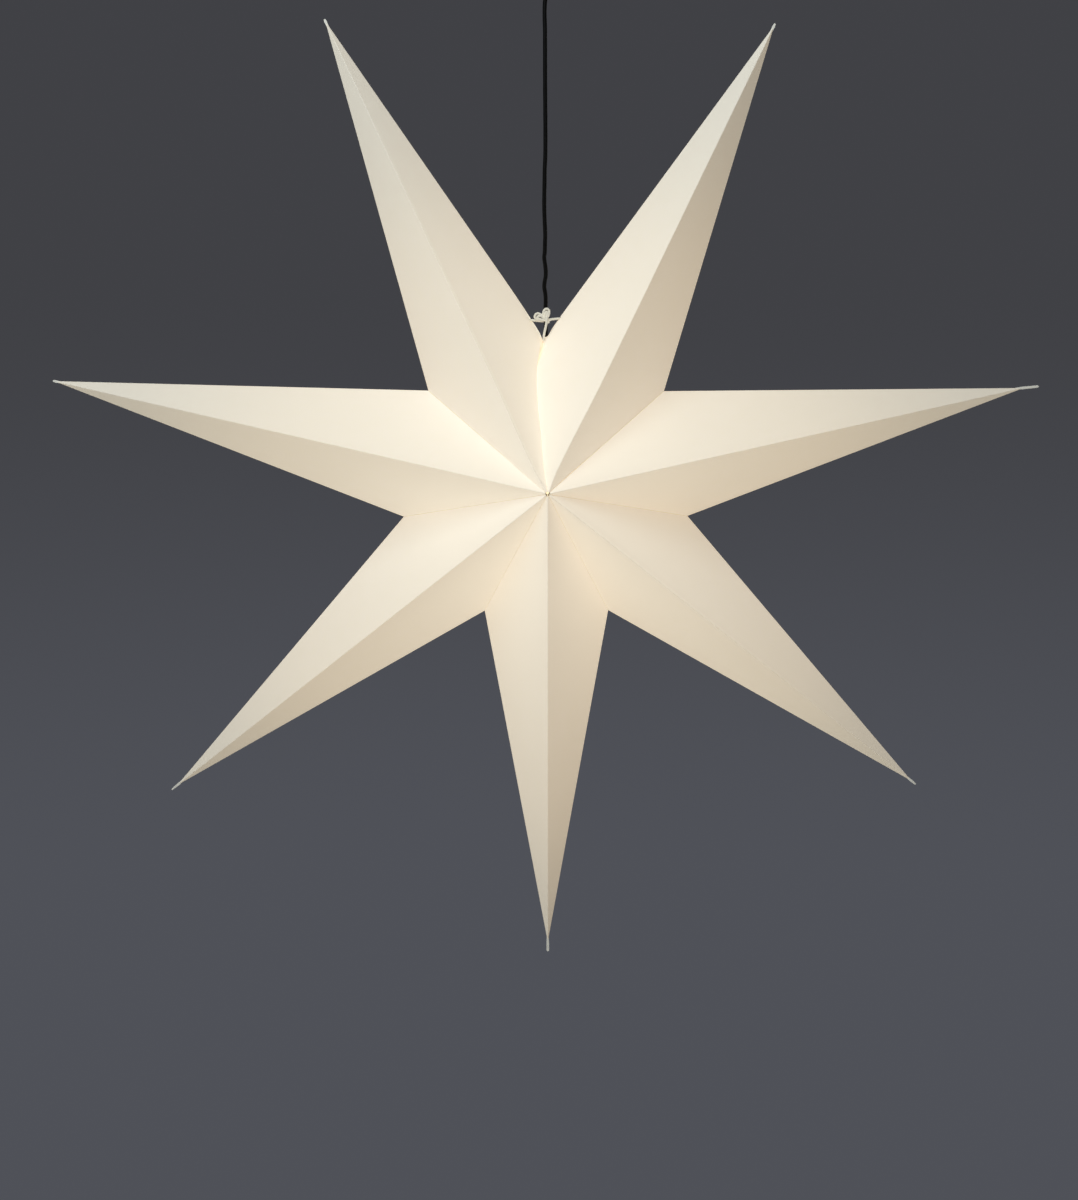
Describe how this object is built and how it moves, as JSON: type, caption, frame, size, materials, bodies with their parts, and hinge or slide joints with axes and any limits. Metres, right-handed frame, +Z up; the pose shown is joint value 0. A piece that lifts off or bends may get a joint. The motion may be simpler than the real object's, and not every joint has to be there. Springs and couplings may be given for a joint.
{
  "type": "paper star lantern",
  "caption": "Folded card star with deep hollow points, tied round a black pendant cord with a lamp holder and bulb inside, under a ceiling cup.",
  "frame": {"origin": "centre of the ceiling strap's top face, where the fitting meets the ceiling; the middle of the star is 0.55 m straight below it", "axes": "+Z up to the ceiling, the star's flat plane is X and Z, -Y is the front that the picture shows, +X to the right"},
  "size_m": [0.9878, 0.2132, 1.057],
  "materials": {
    "card": "matt white card, lit from inside",
    "string": "twisted cotton",
    "cord": "satin black sheath",
    "holder": "moulded black plastic",
    "cup": "moulded black plastic",
    "insulator": "off-white insulator",
    "brass": "plain brass",
    "steel": "zinc plated",
    "bulb": "opal white bulb, lit"
  },
  "bodies": {
    "root": {"point_top_left": "card", "point_left": "card", "point_lower_left": "card", "point_bottom": "card", "point_lower_right": "card", "point_right": "card", "point_top_right": "card", "tie_string_left": "string", "tie_string_right": "string", "pendant_cord": "cord", "holder_cord_grip": "holder", "holder_cap": "holder", "holder_shell": "holder", "contact_block": "insulator", "centre_contact": "brass", "threaded_sleeve": "brass", "bulb": "bulb", "cup_cord_grip": "cup", "cup_grip_nut": "cup", "ceiling_cup": "cup", "ceiling_strap": "steel", "cup_screws": "steel", "terminal_block": "insulator"}
  },
  "joints": []
}
